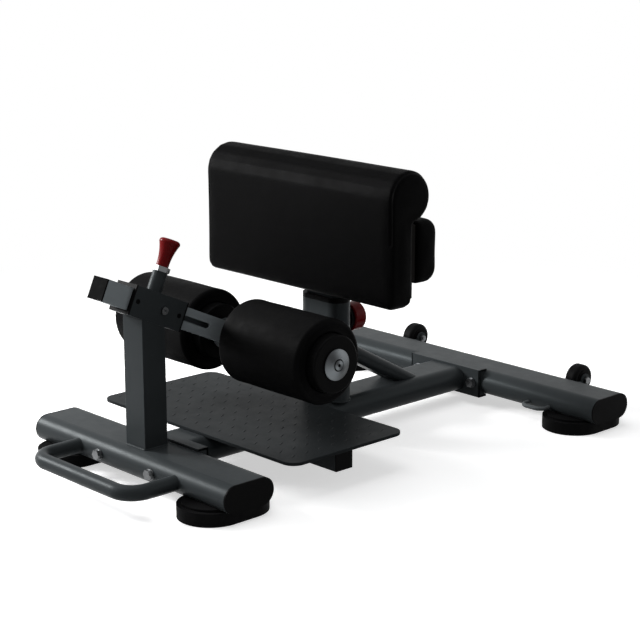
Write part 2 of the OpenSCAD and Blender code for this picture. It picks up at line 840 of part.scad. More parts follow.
// Trumpet shaped knob: a straight neck, a flare cut by an arc and a round rim
module pin_knob() {
  rise = knob_h - rim_t - neck_h;
  reach = rim_d / 2 - rim_drop - neck_d / 2;
  flare_r = (rise * rise + reach * reach) / (2 * reach);
  color(red) in_sleeve() difference() {
    union() {
      translate([0, 0, hex_top - neck_spare]) cylinder(d = neck_d, h = neck_spare + neck_h);
      translate([0, 0, hex_top]) rotate_extrude() difference() {
        union() {
          square([rim_d / 2 - rim_t / 2, knob_h]);
          square([rim_d / 2, knob_h - rim_t / 2]);
          translate([rim_d / 2 - rim_t / 2, knob_h - rim_t / 2]) circle(d = rim_t);
        }
        translate([neck_d / 2, -past]) square([rim_d, neck_h + past]);
        translate([neck_d / 2 + flare_r, neck_h]) circle(r = flare_r);
      }
    }
    translate([0, 0, hex_top - neck_spare - past])
      cylinder(d = plunger_d + 2 * fit, h = neck_spare + past + plunger_grip + fit);
  }
}

module foot_plate() {
  color(paint) bench() translate([0, plate_y + plate_len / 2, oval_h])
    linear_extrude(height = plate_t) round_rect(plate_w, plate_len, plate_corner);
}

// Square tube from the beam's right side to the plate's edge, below the plate
module cross_tube_right() {
  inner = cross_side - 2 * cross_wall;
  color(paint) bench() difference() {
    translate([cross_len / 4, plate_y + plate_len / 2, oval_h - cross_side / 2]) difference() {
      cube([cross_len / 2, cross_side, cross_side], center = true);
      cube([cross_len, inner, inner], center = true);
    }
    translate([0, 0, half_h]) along_y(far) oval(oval_w + 2 * fit, oval_h + 2 * fit);
  }
}

module cross_tube_left() { mirror([1, 0, 0]) cross_tube_right(); }

module cross_plugs() {
  inner = cross_side - 2 * cross_wall - 2 * fit;
  color(black) bench() both_sides()
    translate([cross_len / 2, plate_y + plate_len / 2, oval_h - cross_side / 2]) {
      translate([cross_plug_t / 2, 0, 0]) cube([cross_plug_t, cross_side, cross_side], center = true);
      translate([-cross_plug_depth / 2, 0, 0]) cube([cross_plug_depth, inner, inner], center = true);
    }
}

module rear_upright() {
  color(paint) bench() difference() {
    translate([0, post_y, oval_h]) linear_extrude(height = rear_upright_h) oval(oval_w, oval_h);
    translate([0, post_y, oval_h - past]) linear_extrude(height = rear_upright_h + 2 * past)
      oval(oval_w - 2 * oval_wall, oval_h - 2 * oval_wall);
    translate([0, post_y, lock_z]) rod_y(plunger_d + 2 * run, oval_h);
  }
}

module post_liner() {
  bore_w = post_w + 2 * run;
  bore_d = post_d + 2 * run;
  inner_w = oval_w - 2 * oval_wall - 2 * fit;
  inner_d = oval_h - 2 * oval_wall - 2 * fit;
  color(black) bench() difference() {
    translate([0, post_y, upright_top]) union() {
      linear_extrude(height = post_flange) oval(oval_w, oval_h);
      translate([0, 0, -post_liner_depth])
        linear_extrude(height = post_liner_depth) oval(inner_w, inner_d);
    }
    translate([0, post_y, upright_top - post_liner_depth - past])
      linear_extrude(height = post_liner_depth + post_flange + 2 * past) oval(bore_w, bore_d);
    translate([0, post_y, lock_z]) rod_y(plunger_d + 2 * run, oval_h);
  }
}

module brace() {
  slope = atan(brace_rise / (brace_reach - oval_h / 2));
  run_y = post_y + brace_reach;
  color(paint) bench() difference() {
    translate([0, run_y, oval_h]) rotate([-slope, 0, 0]) translate([0, -far / 2, 0]) difference() {
      along_y(far) oval(brace_w, brace_h);
      along_y(far) oval(brace_w - 2 * brace_wall, brace_h - 2 * brace_wall);
    }
    translate([-far / 2, post_face - 2 * far, -far]) cube([far, 2 * far, 2 * far]);
    translate([-far / 2, -far, oval_h - 2 * far]) cube([far, 3 * far, 2 * far]);
  }
}

module lock_barrel() {
  color(paint) bench() translate([0, post_face, lock_z]) difference() {
    rod_y(barrel_d, lock_barrel_len);
    translate([0, -past, 0]) rod_y(plunger_d + 2 * turn, lock_barrel_len + 2 * past);
  }
}

module lock_plunger() {
  color(zinc) bench() translate([0, lock_tip, lock_z])
    rod_y(plunger_d, knob_face + plunger_grip - lock_tip);
}

module lock_knob() {
  color(red) bench() translate([0, knob_face, lock_z]) rotate([-90, 0, 0]) difference() {
    rotate_extrude() intersection() {
      translate([0, lock_knob_t / 2]) round_rect(lock_knob_d, lock_knob_t, lock_knob_edge);
      square([lock_knob_d, lock_knob_t]);
    }
    translate([0, 0, -past]) cylinder(d = plunger_d + 2 * fit, h = plunger_grip + past + fit);
  }
}

module pad_post() {
  color(paint) bench() difference() {
    translate([0, post_y, oval_h + post_low]) linear_extrude(height = post_len) oval(post_w, post_d);
    translate([0, post_y, oval_h + post_low - past]) linear_extrude(height = post_len + 2 * past)
      oval(post_w - 2 * post_wall, post_d - 2 * post_wall);
    for (i = [-post_holes_below : post_holes_above]) translate([0, post_y, lock_z + i * post_pitch])
      rod_y(arm_hole_d, post_d);
    for (z = [0, pad_screw_pitch]) {
      translate([0, post_y - post_d, calf_screw_z + z]) rod_y(pad_screw_d + 2 * fit, post_d);
      translate([0, post_y, rear_screw_z + z]) rod_y(pad_screw_d + 2 * fit, post_d);
    }
  }
}

// Board behind a pad, from y = 0 to its thickness, with its screw holes
module board(w, low, high, screw_low) {
  difference() {
    translate([-w / 2, 0, low]) cube([w, board_t, high - low]);
    for (z = [0, pad_screw_pitch]) translate([0, -past, screw_low + z])
      rod_y(pad_screw_d + 2 * fit, board_t + 2 * past);
  }
}

module calf_board() {
  top = roll_z - roll_d / 2 - board_gap;
  color(black) bench() translate([0, board_front, 0])
    board(calf_w - 2 * calf_corner, calf_z + calf_corner, top, calf_screw_z);
}

module rear_board() {
  color(black) bench() translate([0, rear_board_y, 0])
    board(rear_pad_w - 2 * board_inset, rear_pad_z + board_inset,
      rear_pad_z + rear_pad_h - board_inset, rear_screw_z);
}

// Screws from inside the post into the boards
module pad_screws() {
  shank = board_t - screw_cover + post_wall;
  color(zinc) bench() for (z = [0, pad_screw_pitch]) {
    translate([0, board_front + screw_cover, calf_screw_z + z]) {
      rod_y(pad_screw_d, shank);
      translate([0, shank, 0]) rod_y(pad_head_d, pad_head_t);
    }
    translate([0, rear_board_y - post_wall, rear_screw_z + z]) {
      rod_y(pad_screw_d, shank);
      translate([0, -pad_head_t, 0]) rod_y(pad_head_d, pad_head_t);
    }
  }
}

// Points of an arc, from angle a to angle b in steps
function arc(y, z, r, a, b, steps) =
  [for (i = [0 : steps]) let (t = a + (b - a) * i / steps) [y + r * cos(t), z + r * sin(t)]];

// Points along a straight edge, both ends left out
function edge(p, q, steps) = [for (i = [1 : steps - 1]) p + (q - p) * i / steps];

// How far a round edge of radius r lies inside the outline, at a distance t from the end
function inset(r, t) = t >= r ? 0 : r - sqrt(r * r - (r - t) * (r - t));

// Distances from a pad's end at which its outline is drawn, then across to the middle
function stations(r, w) = concat([0, r * 0.08, r * 0.3, r * 0.6, r], [w / 8, w / 4, 3 * w / 8]);

// A pad drawn as outlines across its width: the ends are drawn in and the middle swells
module padded(w, outline, centre, half, eye, round_y, round_z) {
  near = stations(max(round_y, round_z), w);
  far_side = [for (i = [len(near) - 1 : -1 : 0]) w - near[i]];
  xs = concat(near, [w / 2], far_side);
  n = len(outline);
  function place(x, p) = let (
      t = min(x, w - x),
      ky = 1 - inset(round_y, t) / half[0],
      kz = 1 - inset(round_z, t) / half[1],
      up = (p[1] - centre[1]) / half[1],
      rise = 1 - up * up,
      push = p[0] < centre[0] ? -crown * sin(180 * x / w) * rise : 0
    ) [x - w / 2, centre[0] + (p[0] - centre[0]) * ky + push, centre[1] + (p[1] - centre[1]) * kz];
  points = concat([for (x = xs) for (p = outline) place(x, p)], [place(0, eye), place(w, eye)]);
  rim = (len(xs) - 1) * n;
  sides = [for (k = [0 : len(xs) - 2], i = [0 : n - 1]) let (j = (i + 1) % n)
    each [[k * n + i, (k + 1) * n + i, k * n + j], [k * n + j, (k + 1) * n + i, (k + 1) * n + j]]];
  ends = [for (i = [0 : n - 1]) let (j = (i + 1) % n)
    each [[i, j, rim + n], [rim + j, rim + i, rim + n + 1]]];
  polyhedron(points = points, faces = concat(sides, ends));
}

// Outline of the calf pad in Y and Z: a slab with a roll along its top, behind
function calf_outline() = let (
    top = calf_z + calf_h,
    r = roll_d / 2
  ) concat(
    arc(calf_front + calf_edge, calf_z + calf_edge, calf_edge, 180, 270, 4),
    arc(board_front - calf_edge, calf_z + calf_edge, calf_edge, 270, 360, 4),
    edge([board_front, calf_z + calf_edge], [board_front, roll_z - r], 3),
    arc(roll_y, roll_z, r, -90, 90, 12),
    arc(calf_front + calf_lip, top - calf_lip, calf_lip, 90, 180, 4),
    edge([calf_front, top - calf_lip], [calf_front, calf_z + calf_edge], 6)
  );

module calf_pad() {
  back = roll_y + roll_d / 2;
  color(vinyl) bench() padded(calf_w, calf_outline(),
    [(calf_front + board_front) / 2, calf_z + calf_h / 2],
    [back - (calf_front + board_front) / 2, calf_h / 2], [roll_y - calf_edge, roll_z],
    calf_edge, calf_corner);
}

// Outline of the rear pad, from its board at y = 0 backwards, mirrored to face the rear
function rear_outline() = let (
    r = rear_pad_edge,
    seam = rear_pad_seam,
    low = rear_pad_z,
    top = rear_pad_z + rear_pad_h
  ) concat(
    arc(-rear_pad_d + r, low + r, r, 180, 270, 5),
    arc(-seam, low + seam, seam, 270, 360, 2),
    edge([0, low + seam], [0, top - seam], 3),
    arc(-seam, top - seam, seam, 0, 90, 2),
    arc(-rear_pad_d + r, top - r, r, 90, 180, 5),
    edge([-rear_pad_d, top - r], [-rear_pad_d, low + r], 4)
  );

module rear_pad() {
  middle = [-rear_pad_d / 2, rear_pad_z + rear_pad_h / 2];
  color(vinyl) bench() translate([0, rear_pad_y, 0]) mirror([0, 1, 0])
    padded(rear_pad_w, rear_outline(), middle, [rear_pad_d / 2, rear_pad_h / 2], middle,
      calf_edge, calf_corner);
}

// Band hook on the lower front side of the rear foot
module hook_right() {
  color(paint) bench() difference() {
    translate([hook_x, foot_spacing - oval_w / 2 + hook_root, hook_z])
      loop_solid(hook_d, hook_w, hook_reach + hook_root, hook_bend);
    translate([0, foot_spacing, half_h]) foot_solid(far, fit);
  }
}

module hook_left() { mirror([1, 0, 0]) hook_right(); }

// Places a piece at each transport wheel, with X outwards from the wheel's middle
module at_wheels() {
  bench() both_sides() translate([wheel_x, wheel_y, wheel_z]) children();
}

// Two brackets for each wheel, welded to the rear foot's back
module wheel_brackets() {
  color(paint) bench() difference() {
    both_sides() for (x = [wheel_x - ear_in - ear_t, wheel_x + ear_in]) translate([x, 0, 0]) difference() {
      union() {
        translate([0, foot_spacing, wheel_z - ear_r]) cube([ear_t, wheel_back, ear_r]);
        translate([0, wheel_y, wheel_z]) rotate([0, 90, 0]) cylinder(r = ear_r, h = ear_t);
      }
      translate([-past, wheel_y, wheel_z]) rotate([0, 90, 0])
        cylinder(d = wheel_bolt_d + 2 * fit, h = ear_t + 2 * past);
    }
    translate([0, foot_spacing, half_h]) foot_solid(far, fit);
  }
}

module wheel_bolts() {
  out = ear_in + ear_t;
  color(zinc) at_wheels() {
    translate([out, 0, 0]) rotate([0, 90, 0]) hex(wheel_hex, wheel_head_t);
    translate([out - wheel_bolt_len, 0, 0]) rotate([0, 90, 0])
      cylinder(d = wheel_bolt_d, h = wheel_bolt_len);
  }
}

module wheel_nuts() {
  out = ear_in + ear_t;
  color(zinc) at_wheels() translate([-out, 0, 0]) rotate([0, -90, 0]) difference() {
    hex(wheel_hex, wheel_head_t);
    translate([0, 0, -past]) cylinder(d = wheel_bolt_d + 2 * fit, h = wheel_head_t + 2 * past);
  }
}

module hub_right() {
  color(black) bench() translate([wheel_x, wheel_y, wheel_z]) difference() {
    rod_x(hub_d, wheel_w + 2 * hub_out);
    rod_x(wheel_bolt_d + 2 * turn, 2 * wheel_w);
  }
}

module tyre_right() {
  color(black) bench() translate([wheel_x - wheel_w / 2, wheel_y, wheel_z]) difference() {
    round_roller(wheel_d, wheel_w, tyre_edge);
    translate([wheel_w / 2, 0, 0]) rod_x(hub_d + 2 * fit, 2 * wheel_w);
  }
}

module hub_left() { mirror([1, 0, 0]) hub_right(); }
module tyre_left() { mirror([1, 0, 0]) tyre_right(); }

front_foot();
rear_foot();
front_foot_caps();
rear_foot_caps();
rubber_front_left();
rubber_front_right();
rubber_rear_left();
rubber_rear_right();
carry_handle();
main_beam();
front_channel();
rear_channel();
frame_bolts();
frame_washers();
frame_nuts();
front_upright();
sleeve();
sleeve_liner_front();
sleeve_liner_rear();
stop_screw();
pin_barrel();
pin_collar();
pin_plunger();
pin_knob();
arm_tube();
arm_plugs();
roller_axle();
dished_washers();
end_screws();
core_left();
core_right();
foam_left();
foam_right();
foot_plate();
cross_tube_left();
cross_tube_right();
cross_plugs();
rear_upright();
post_liner();
brace();
lock_barrel();
lock_plunger();
lock_knob();
pad_post();
calf_board();
calf_pad();
rear_board();
rear_pad();
pad_screws();
hook_left();
hook_right();
wheel_brackets();
wheel_bolts();
wheel_nuts();
hub_left();
hub_right();
tyre_left();
tyre_right();
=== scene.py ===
import json
import math

import bpy
import bmesh
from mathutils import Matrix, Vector


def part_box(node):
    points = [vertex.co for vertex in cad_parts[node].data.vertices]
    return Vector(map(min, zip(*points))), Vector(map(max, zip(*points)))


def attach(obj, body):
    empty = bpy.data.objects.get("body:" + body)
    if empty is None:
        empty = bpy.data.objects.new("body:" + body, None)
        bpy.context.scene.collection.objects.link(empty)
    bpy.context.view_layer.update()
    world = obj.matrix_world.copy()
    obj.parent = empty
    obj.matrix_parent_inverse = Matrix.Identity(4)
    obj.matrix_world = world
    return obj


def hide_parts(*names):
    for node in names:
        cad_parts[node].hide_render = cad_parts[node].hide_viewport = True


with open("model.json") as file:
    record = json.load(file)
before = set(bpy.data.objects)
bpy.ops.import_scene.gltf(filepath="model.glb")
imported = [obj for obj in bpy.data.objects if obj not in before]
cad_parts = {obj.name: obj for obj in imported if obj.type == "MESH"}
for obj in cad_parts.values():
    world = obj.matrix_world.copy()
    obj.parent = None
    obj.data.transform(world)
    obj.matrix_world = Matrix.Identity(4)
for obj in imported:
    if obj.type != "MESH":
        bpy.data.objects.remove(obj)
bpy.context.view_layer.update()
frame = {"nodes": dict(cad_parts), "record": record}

NODES = frame["nodes"]
MM = 0.001
# Clear play between pieces that touch
PLAY = 0.3 * MM
# Distance under which two corners of a CAD mesh are one
SAME_POINT = 0.02 * MM


def add_object(name, data):
    obj = bpy.data.objects.new(name, data)
    bpy.context.scene.collection.objects.link(obj)
    return obj


def centre_of(lo, hi):
    return Vector(((lo.x + hi.x) / 2, (lo.y + hi.y) / 2, (lo.z + hi.z) / 2))


# Camera, fitted to the photograph's edges

CAMERA_PLACE = (2.3378, -2.17295, 1.0398)
CAMERA_TILT = 75.78
CAMERA_TURN = 46.81
CAMERA_LENS = 96.58
SENSOR_WIDTH = 36.0


def make_camera():
    data = bpy.data.cameras.new("photo_camera")
    data.sensor_width = SENSOR_WIDTH
    data.lens = CAMERA_LENS
    data.clip_start, data.clip_end = 0.05, 60.0
    eye = add_object("photo_camera", data)
    eye.location = CAMERA_PLACE
    eye.rotation_euler = (math.radians(CAMERA_TILT), 0.0, math.radians(CAMERA_TURN))
    bpy.context.scene.camera = eye


# Material nodes

# The part of a noise's range that is spread over a roughness
NOISE_LOW, NOISE_HIGH = 0.3, 0.7
# How far a bevelled normal turns from the face's own: where an edge begins and where it is full
EDGE_STARTS, EDGE_FULL = 0.02, 0.25
# The frame paint's reflections are slightly blue
PAINT_SHEEN = (0.84, 0.97, 1.0, 1.0)


class Paint:
    """Builds one procedural material round a Principled shader, in object coordinates in metres."""

    def __init__(self, name, color, specular=0.5, metallic=0.0, coat=0.0):
        self.material = bpy.data.materials.new(name)
        self.material.use_nodes = True
        self.tree = self.material.node_tree
        self.shader = self.tree.nodes["Principled BSDF"]
        self.color = color
        self.socket("Base Color").default_value = (*color, 1.0)
        self.socket("Metallic").default_value = metallic
        self.socket("Specular IOR Level").default_value = specular
        self.socket("Coat Weight").default_value = coat
        self.socket("Coat Roughness").default_value = 0.1
        self.where = self.node("ShaderNodeTexCoord").outputs["Object"]
        self.last_bump = None

    def socket(self, name):
        return self.shader.inputs[name]

    def node(self, kind):
        return self.tree.nodes.new(kind)

    def link(self, a, b):
        self.tree.links.new(a, b)

    def stretched(self, scale):
        mapping = self.node("ShaderNodeMapping")
        mapping.inputs["Scale"].default_value = scale
        self.link(self.where, mapping.inputs["Vector"])
        return mapping.outputs["Vector"]

    def noise(self, scale, detail=3.0, rough=0.5, where=None):
        n = self.node("ShaderNodeTexNoise")
        n.inputs["Scale"].default_value = scale
        n.inputs["Detail"].default_value = detail
        n.inputs["Roughness"].default_value = rough
        self.link(where or self.where, n.inputs["Vector"])
        return n.outputs["Fac"]

    def cells(self, scale, feature="F1"):
        n = self.node("ShaderNodeTexVoronoi")
        n.feature = feature
        n.inputs["Scale"].default_value = scale
        self.link(self.where, n.inputs["Vector"])
        return n.outputs["Distance"]

    def spread(self, value, a, b, low=0.0, high=1.0):
        """Maps the values from a to b to the range from low to high."""
        n = self.node("ShaderNodeMapRange")
        n.inputs["From Min"].default_value = a
        n.inputs["From Max"].default_value = b
        n.inputs["To Min"].default_value = low
        n.inputs["To Max"].default_value = high
        self.link(value, n.inputs["Value"])
        return n.outputs["Result"]

    def math(self, operation, a, b=0.0):
        n = self.node("ShaderNodeMath")
        n.operation = operation
        for value, target in ((a, n.inputs[0]), (b, n.inputs[1])):
            if isinstance(value, float):
                target.default_value = value
            else:
                self.link(value, target)
        return n.outputs[0]

    def times(self, a, b):
        return self.math("MULTIPLY", a, b)

    def plus(self, a, b):
        return self.math("ADD", a, b)

    def tint(self, factor, other, base=None):
        """Mixes another colour over the base colour by factor."""
        n = self.node("ShaderNodeMix")
        n.data_type = "RGBA"
        self.link(factor, n.inputs["Factor"])
        if base is None:
            n.inputs["A"].default_value = (*self.color, 1.0)
        else:
            self.link(base, n.inputs["A"])
        n.inputs["B"].default_value = (*other, 1.0)
        self.link(n.outputs["Result"], self.socket("Base Color"))
        return n.outputs["Result"]

    def roughness(self, value, low, high):
        spread = self.spread(value, NOISE_LOW, NOISE_HIGH, low, high)
        self.link(spread, self.socket("Roughness"))

    def bump(self, height, distance, strength=1.0):
        n = self.node("ShaderNodeBump")
        n.inputs["Strength"].default_value = strength
        n.inputs["Distance"].default_value = distance
        self.link(height, n.inputs["Height"])
        if self.last_bump:
            self.link(self.last_bump, n.inputs["Normal"])
        self.last_bump = n.outputs["Normal"]
        self.link(self.last_bump, self.socket("Normal"))

    def edges(self, width):
        """1 along the convex and concave edges of a hard form, 0 on its faces."""
        soft = self.node("ShaderNodeBevel")
        soft.samples = 4
        soft.inputs["Radius"].default_value = width
        flat = self.node("ShaderNodeNewGeometry")
        dot = self.node("ShaderNodeVectorMath")
        dot.operation = "DOT_PRODUCT"
        self.link(soft.outputs["Normal"], dot.inputs[0])
        self.link(flat.outputs["Normal"], dot.inputs[1])
        return self.spread(dot.outputs["Value"], 1.0 - EDGE_STARTS, 1.0 - EDGE_FULL)


def scaled(color, factor):
    return tuple(min(1.0, factor * c) for c in color)


def frame_paint(name, color, light, metallic=0.02, rough=(0.32, 0.4), specular=0.042):
    """Powder coat: light clouds and flecks, and edges that are worn a little and painted lighter as
    a painted highlight along them.
    """
    p = Paint(name, color, specular, metallic)
    p.socket("Specular Tint").default_value = PAINT_SHEEN
    cloud = p.noise(9.0, 3.0)
    fleck = p.noise(2600.0, 2.0, 0.7)
    mixed = p.tint(p.spread(cloud, 0.35, 0.75, 0.0, 0.3), light)
    mixed = p.tint(p.spread(fleck, 0.52, 0.72, 0.0, 0.25), light, mixed)
    # Patchy lightening along the edges: partly worn paint, partly a painted edge highlight.
    wear_and_edge_highlight = p.times(p.edges(1.2 * MM), p.spread(p.noise(60.0, 4.0, 0.65), 0.42, 0.6, 0.0, 0.4))
    p.tint(wear_and_edge_highlight, scaled(light, 2.2), mixed)
    p.roughness(p.noise(35.0, 4.0, 0.6), *rough)
    p.bump(p.noise(520.0, 2.0, 0.5), 0.06 * MM)
    p.bump(fleck, 0.01 * MM)
    return p.material


def plastic(name, color, light, rough, specular, grain=900.0, depth=0.06 * MM):
    p = Paint(name, color, specular)
    mixed = p.tint(p.spread(p.noise(14.0, 3.0), 0.4, 0.75, 0.0, 0.4), light)
    # The edges are painted lighter: a painted highlight along them.
    p.tint(p.times(p.edges(1 * MM), 0.45), light, mixed)
    p.roughness(p.noise(48.0, 4.0, 0.6), *rough)
    p.bump(p.noise(grain, 3.0, 0.6), depth)
    return p.material


def steel(name, color):
    p = Paint(name, color, metallic=1.0)
    grain = p.noise(900.0, 2.0, 0.6)
    mixed = p.tint(p.spread(grain, 0.35, 0.7, 0.0, 0.35), scaled(color, 0.62))
    p.tint(p.spread(p.noise(70.0, 4.0, 0.6), 0.55, 0.75, 0.0, 0.35), scaled(color, 1.5), mixed)
    p.roughness(grain, 0.24, 0.4)
    p.bump(grain, 0.02 * MM)
    return p.material


def turned_steel(name, dark, light):
    """Steel turned on a lathe: fine rings in its bump, and bright and dark wedges round the axle
    painted into its colour as a painted reflection.
    """
    p = Paint(name, dark, metallic=1.0)
    axle = centre_of(*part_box("core_left"))
    split = p.node("ShaderNodeSeparateXYZ")
    p.link(p.where, split.inputs[0])
    along_y = p.plus(split.outputs["Y"], -axle.y)
    along_z = p.plus(split.outputs["Z"], -axle.z)
    turn = p.math("ARCTAN2", along_z, along_y)
    # Bright and dark wedges round the axle: a painted reflection of turned steel.
    painted_sheen_wedge = p.math("COSINE", p.plus(p.times(turn, 2.0), math.radians(-90)))
    around = p.math("SQRT", p.plus(p.times(along_y, along_y), p.times(along_z, along_z)))
    ripple = p.math("SINE", p.times(around, 9000.0))
    mixed = p.tint(p.spread(painted_sheen_wedge, -1.0, 1.0), light)
    p.tint(p.spread(p.noise(60.0, 4.0, 0.6), 0.5, 0.75, 0.0, 0.3), scaled(light, 0.7), mixed)
    p.roughness(p.noise(140.0, 4.0, 0.6), 0.26, 0.38)
    p.bump(ripple, 0.008 * MM)
    return p.material


def vinyl(name, color, light):
    p = Paint(name, color, specular=0.0125)
    warped = p.cells(620.0)
    cracks = p.cells(620.0, "DISTANCE_TO_EDGE")
    mixed = p.tint(p.spread(p.noise(7.0, 3.0), 0.35, 0.7, 0.0, 0.5), light)
    # The grain's cracks are painted darker: painted shade in its hollows.
    p.tint(p.spread(cracks, 0.0, 0.12, 0.5, 0.0), scaled(color, 0.4), mixed)
    p.roughness(p.noise(22.0, 4.0, 0.6), 0.42, 0.56)
    p.bump(p.spread(cracks, 0.0, 0.25), 0.14 * MM, 0.8)
    p.bump(warped, 0.05 * MM, 0.5)
    p.bump(p.noise(26.0, 3.0, 0.5), 0.7 * MM, 0.35)
    return p.material


def foam(name, color, light):
    p = Paint(name, color, specular=0.018)
    pores = p.cells(1250.0)
    p.tint(p.spread(p.noise(11.0, 4.0), 0.35, 0.7, 0.0, 0.5), light)
    p.roughness(p.noise(45.0, 4.0, 0.6), 0.5, 0.66)
    p.bump(p.spread(pores, 0.1, 0.5, 1.0, 0.0), 0.1 * MM, 0.7)
    p.bump(p.noise(240.0, 3.0, 0.6), 0.1 * MM, 0.6)
    p.bump(p.noise(18.0, 2.0, 0.5), 0.8 * MM, 0.3)
    return p.material


def gloss(name, color, dark):
    p = Paint(name, color, specular=0.04, coat=0.02)
    mixed = p.tint(p.spread(p.noise(30.0, 4.0, 0.6), 0.4, 0.7, 0.0, 0.4), dark)
    # The edges are painted a lighter red: a painted highlight along them.
    p.tint(p.times(p.edges(0.8 * MM), 0.4), scaled(color, 1.8), mixed)
    p.roughness(p.noise(120.0, 4.0, 0.6), 0.22, 0.38)
    p.bump(p.noise(420.0, 2.0, 0.5), 0.05 * MM)
    return p.material


def board(name, color, light):
    p = Paint(name, color, specular=0.05)
    grain = p.noise(60.0, 6.0, 0.7, p.stretched((0.25, 1.0, 4.0)))
    p.tint(p.spread(grain, 0.35, 0.7, 0.0, 0.8), light)
    p.roughness(grain, 0.6, 0.8)
    p.bump(grain, 0.2 * MM)
    return p.material


MATERIALS = {
    "frame_paint": frame_paint("frame_paint", (0.0282, 0.0319, 0.0338), (0.0394, 0.0443, 0.0463)),
    "plate_paint": frame_paint("plate_paint", (0.0175, 0.0196, 0.0207), (0.0266, 0.03, 0.0315),
                               metallic=0.0, rough=(0.3, 0.4), specular=0.014),
    "arm_paint": frame_paint("arm_paint", (0.26, 0.288, 0.302), (0.285, 0.314, 0.33)),
    "hook_paint": frame_paint("hook_paint", (0.085, 0.092, 0.096), (0.11, 0.118, 0.123),
                              specular=0.06),
    "matt_cap": plastic("matt_cap", (0.0035, 0.0036, 0.0038), (0.006, 0.006, 0.0064),
                        (0.6, 0.75), specular=0.008),
    "black_cap": plastic("black_cap", (0.0022, 0.0022, 0.0023), (0.004, 0.004, 0.0043),
                         (0.36, 0.5), specular=0.02),
    "black_rubber": plastic("black_rubber", (0.0028, 0.0028, 0.003), (0.0056, 0.0056, 0.006),
                            (0.55, 0.75), specular=0.03, grain=1500.0, depth=0.1 * MM),
    "wheel_tyre": plastic("wheel_tyre", (0.0025, 0.0025, 0.0027), (0.0055, 0.0055, 0.0058),
                          (0.4, 0.6), specular=0.03, grain=1200.0, depth=0.08 * MM),
    "zinc_steel": steel("zinc_steel", (0.13, 0.134, 0.138)),
    # The dish steel's lighter colour is its painted reflection in the wedges.
    "dish_steel": turned_steel("dish_steel", (0.034, 0.036, 0.038), (0.135, 0.147, 0.155)),
    "red_knob": gloss("red_knob", (0.14, 0.003, 0.004), (0.085, 0.002, 0.0028)),
    "foam_skin": foam("foam_skin", (0.0016, 0.0016, 0.0017), (0.003, 0.003, 0.0032)),
    "pad_vinyl": vinyl("pad_vinyl", (0.0009, 0.0009, 0.001), (0.0017, 0.0017, 0.0019)),
    "board_wood": board("board_wood", (0.0034, 0.0031, 0.0029), (0.008, 0.0072, 0.0065)),
}
# Each node wears its slot's material, apart from these
LOOKS = {part["node"]: part["material_slot"] for part in frame["record"]["subparts"]}
LOOKS.update(arm_tube="arm_paint", foot_plate="plate_paint", hook_left="hook_paint",
             hook_right="hook_paint", arm_plugs="matt_cap", dished_washers="dish_steel",
             end_screws="dish_steel")


def dress_cad_nodes():
    for name, obj in NODES.items():
        obj.data.materials.clear()
        obj.data.materials.append(MATERIALS[LOOKS[name]])


# The tubes and sheets, whose hard edges are rounded
EDGED = ("front_foot", "rear_foot", "main_beam", "front_upright", "sleeve", "arm_tube",
         "foot_plate", "cross_tube_left", "cross_tube_right", "rear_upright", "brace", "pad_post",
         "front_channel", "rear_channel")
EDGE_WIDTH = 0.8 * MM
# Faces that meet at less than this angle count as one flat face
FLAT_ANGLE = 0.6
# Edges that turn by more than this angle are rounded
HARD_ANGLE = 30.0


def soften_edges():
    """Rounds the hard edges of CAD nodes with modifiers, which leave their meshes as they are."""
    for name in EDGED:
        obj = NODES[name]
        weld = obj.modifiers.new("weld", "WELD")
        weld.merge_threshold = SAME_POINT
        flat = obj.modifiers.new("flat", "DECIMATE")
        flat.decimate_type = "DISSOLVE"
        flat.angle_limit = math.radians(FLAT_ANGLE)
        bevel = obj.modifiers.new("edges", "BEVEL")
        bevel.width = EDGE_WIDTH
        bevel.segments = 2
        bevel.limit_method = "ANGLE"
        bevel.angle_limit = math.radians(HARD_ANGLE)
        bevel.use_clamp_overlap = True
        bevel.miter_outer = "MITER_ARC"
        even = obj.modifiers.new("even", "WEIGHTED_NORMAL")
        even.keep_sharp = True


# Mesh helpers

def add_mesh(name, verts, faces, material, body, smooth=True):
    """Adds a piece that rides on a body, in the given material."""
    mesh = bpy.data.meshes.new(name)
    mesh.from_pydata([tuple(v) for v in verts], [], faces)
    mesh.validate()
    mesh.update()
    if smooth:
        mesh.polygons.foreach_set("use_smooth", [True] * len(mesh.polygons))
    obj = add_object(name, mesh)
    mesh.materials.append(MATERIALS[material])
    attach(obj, body)
    return obj


def arc(count):
    """Angles from 0 to a right angle, in count steps."""
    return [math.pi / 2 * i / count for i in range(count + 1)]


def lathe(name, profile, base, along, material, body, steps=96):
    """Turns (distance along the axis, radius) points round an axis through base."""
    axis = Vector(along).normalized()
    side = axis.orthogonal().normalized()
    other = axis.cross(side)
    verts, faces = [], []
    count = len(profile)
    for i in range(steps):
        a = 2 * math.pi * i / steps
        out = side * math.cos(a) + other * math.sin(a)
        verts += [Vector(base) + axis * s + out * r for s, r in profile]
    for i in range(steps):
        a, b = i * count, ((i + 1) % steps) * count
        for j in range(count):
            k = (j + 1) % count
            faces.append((a + j, a + k, b + k, b + j))
    return add_mesh(name, verts, faces, material, body)


# Foam rollers: a ring of soft foam with round shoulders and a slight crown

FOAM_EDGE = 8 * MM
FOAM_LIP = 3 * MM
# How far the ends are hollowed and the sides fall off towards the ends
FOAM_HOLLOW = 1.2 * MM
FOAM_FALL = 0.9 * MM


